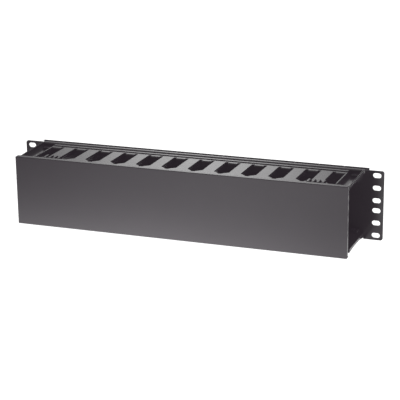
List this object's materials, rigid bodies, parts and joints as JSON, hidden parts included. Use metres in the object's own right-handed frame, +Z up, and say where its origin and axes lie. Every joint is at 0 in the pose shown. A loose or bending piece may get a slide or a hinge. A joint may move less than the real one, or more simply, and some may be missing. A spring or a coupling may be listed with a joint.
{
  "type": "horizontal cable manager",
  "caption": "Two-unit rack panel with rows of T-shaped fingers at top and bottom, flared side exits and a flat cover that swings up or down.",
  "frame": {"origin": "centre of the rack-slot pattern, on the back face of the two ears, which seats on the rack rails", "axes": "+X along the panel to the right as seen from the front, +Y back into the rack, +Z up"},
  "size_m": [0.4826, 0.0902, 0.0888],
  "materials": {
    "painted_steel": "fine matt black powder coat",
    "moulded_plastic": "satin black moulded plastic",
    "cover_plastic": "satin black moulded plastic, very fine grain",
    "edging": "black edging strip",
    "rod_steel": "blackened steel rod",
    "zinc_steel": "black zinc-plated screw"
  },
  "bodies": {
    "frame": {"mounting_bracket": "painted_steel", "upper_finger_strip": "moulded_plastic", "upper_edge_trim": "edging", "lower_finger_strip": "moulded_plastic", "lower_edge_trim": "edging", "upper_left_end_guide": "moulded_plastic", "upper_right_end_guide": "moulded_plastic", "lower_left_end_guide": "moulded_plastic", "lower_right_end_guide": "moulded_plastic", "upper_strip_screw_1": "zinc_steel", "upper_strip_screw_2": "zinc_steel", "upper_strip_screw_3": "zinc_steel", "lower_strip_screw_1": "zinc_steel", "lower_strip_screw_2": "zinc_steel", "lower_strip_screw_3": "zinc_steel", "upper_left_guide_screw": "zinc_steel", "upper_right_guide_screw": "zinc_steel", "lower_left_guide_screw": "zinc_steel", "lower_right_guide_screw": "zinc_steel"},
    "lower_rods": {"lower_left_hinge_rod": "rod_steel", "lower_right_hinge_rod": "rod_steel"},
    "cover": {"front_cover": "cover_plastic", "upper_left_hinge_clip": "moulded_plastic", "upper_right_hinge_clip": "moulded_plastic", "lower_left_hinge_clip": "moulded_plastic", "lower_right_hinge_clip": "moulded_plastic", "upper_left_hinge_rod": "rod_steel", "upper_right_hinge_rod": "rod_steel"}
  },
  "joints": [
    {"name": "cover_opens_up", "type": "hinge", "parent": "frame", "child": "lower_rods", "pos_m": [0, -0.0595, 0.0385], "axis": [-1, 0, 0], "range_deg": [0, 110]},
    {"name": "cover_opens_down", "type": "hinge", "parent": "lower_rods", "child": "cover", "pos_m": [0, -0.0595, -0.0385], "axis": [1, 0, 0], "range_deg": [0, 110]}
  ]
}
